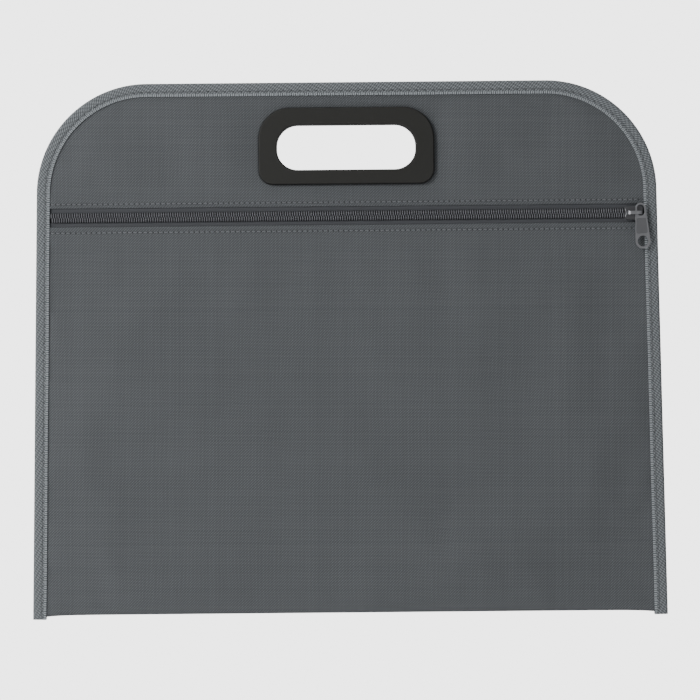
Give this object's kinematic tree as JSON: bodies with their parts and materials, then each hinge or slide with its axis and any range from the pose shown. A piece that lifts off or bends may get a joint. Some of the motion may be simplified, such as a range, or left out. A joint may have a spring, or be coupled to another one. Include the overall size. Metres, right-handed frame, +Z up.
{
  "type": "zipped document bag",
  "caption": "Flat zipped carrying bag of woven polyester with bound edges, a coil zip across the front and a snap-in grip frame round its finger slot.",
  "frame": {"origin": "middle of the flat upper wall of the finger slot, where a hand carries the bag", "axes": "+Z up the hanging bag, +X to the right seen from the front, -Y out of the front face"},
  "size_m": [0.38, 0.0153, 0.32],
  "materials": {
    "cloth": "grey woven polyester",
    "binding": "grey twill binding tape",
    "zip_tape": "grey woven zip tape",
    "coil": "grey nylon coil",
    "metal": "gunmetal lacquer",
    "plastic": "black moulded plastic",
    "thread": "grey polyester sewing thread"
  },
  "bodies": {
    "bag": {"body_cloth": "cloth", "front_upper_panel": "cloth", "edge_binding": "binding", "zip_tape_upper": "zip_tape", "zip_tape_lower": "zip_tape", "zip_coil_upper": "coil", "zip_coil_lower": "coil", "handle_front": "plastic", "handle_back": "plastic", "binding_needle_thread": "thread", "binding_bobbin_thread": "thread", "zip_needle_thread_upper": "thread", "zip_needle_thread_lower": "thread", "zip_bobbin_thread_upper": "thread", "zip_bobbin_thread_lower": "thread"},
    "slider": {"slider_body": "metal"},
    "tab": {"pull_tab": "metal"}
  },
  "joints": [
    {"name": "slider_slide", "type": "slide", "parent": "bag", "child": "slider", "axis": [1, 0, 0], "range_m": [-0.3426, 0]},
    {"name": "tab_swing", "type": "hinge", "parent": "slider", "child": "tab", "pos_m": [0.176, -0.0046, -0.0543], "axis": [0, 1, 0], "range_deg": [-180, 45]}
  ]
}
